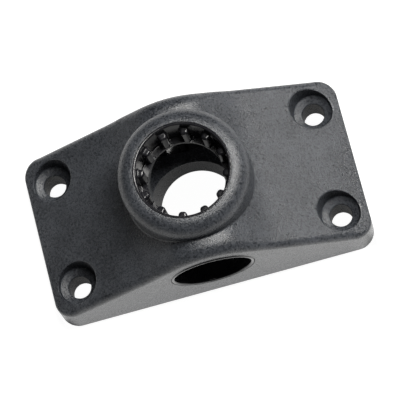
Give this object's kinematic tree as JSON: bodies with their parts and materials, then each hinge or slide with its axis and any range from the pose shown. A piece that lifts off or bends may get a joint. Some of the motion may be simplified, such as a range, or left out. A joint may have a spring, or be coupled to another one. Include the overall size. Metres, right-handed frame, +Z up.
{
  "type": "stanchion base",
  "caption": "Moulded nylon stanchion base: a ramped plate with corner screw holes and a humped middle, holding crossed toothed sockets for a post from above or from the side.",
  "frame": {"origin": "middle of the underside, on the axis of the upright socket", "axes": "+Z up out of the upright socket, +X along the plate's length, +Y towards the back, where the toothed mouth of the side bore is"},
  "size_m": [0.1026, 0.0532, 0.0506],
  "materials": {
    "nylon_charcoal": "satin charcoal glass-filled nylon with a fine moulded grain",
    "liner_black": "polished black moulded nylon"
  },
  "bodies": {
    "root": {"base_body": "nylon_charcoal", "deck_gear_ring": "liner_black", "side_gear_ring": "liner_black", "front_bore_bush": "liner_black"}
  },
  "joints": []
}
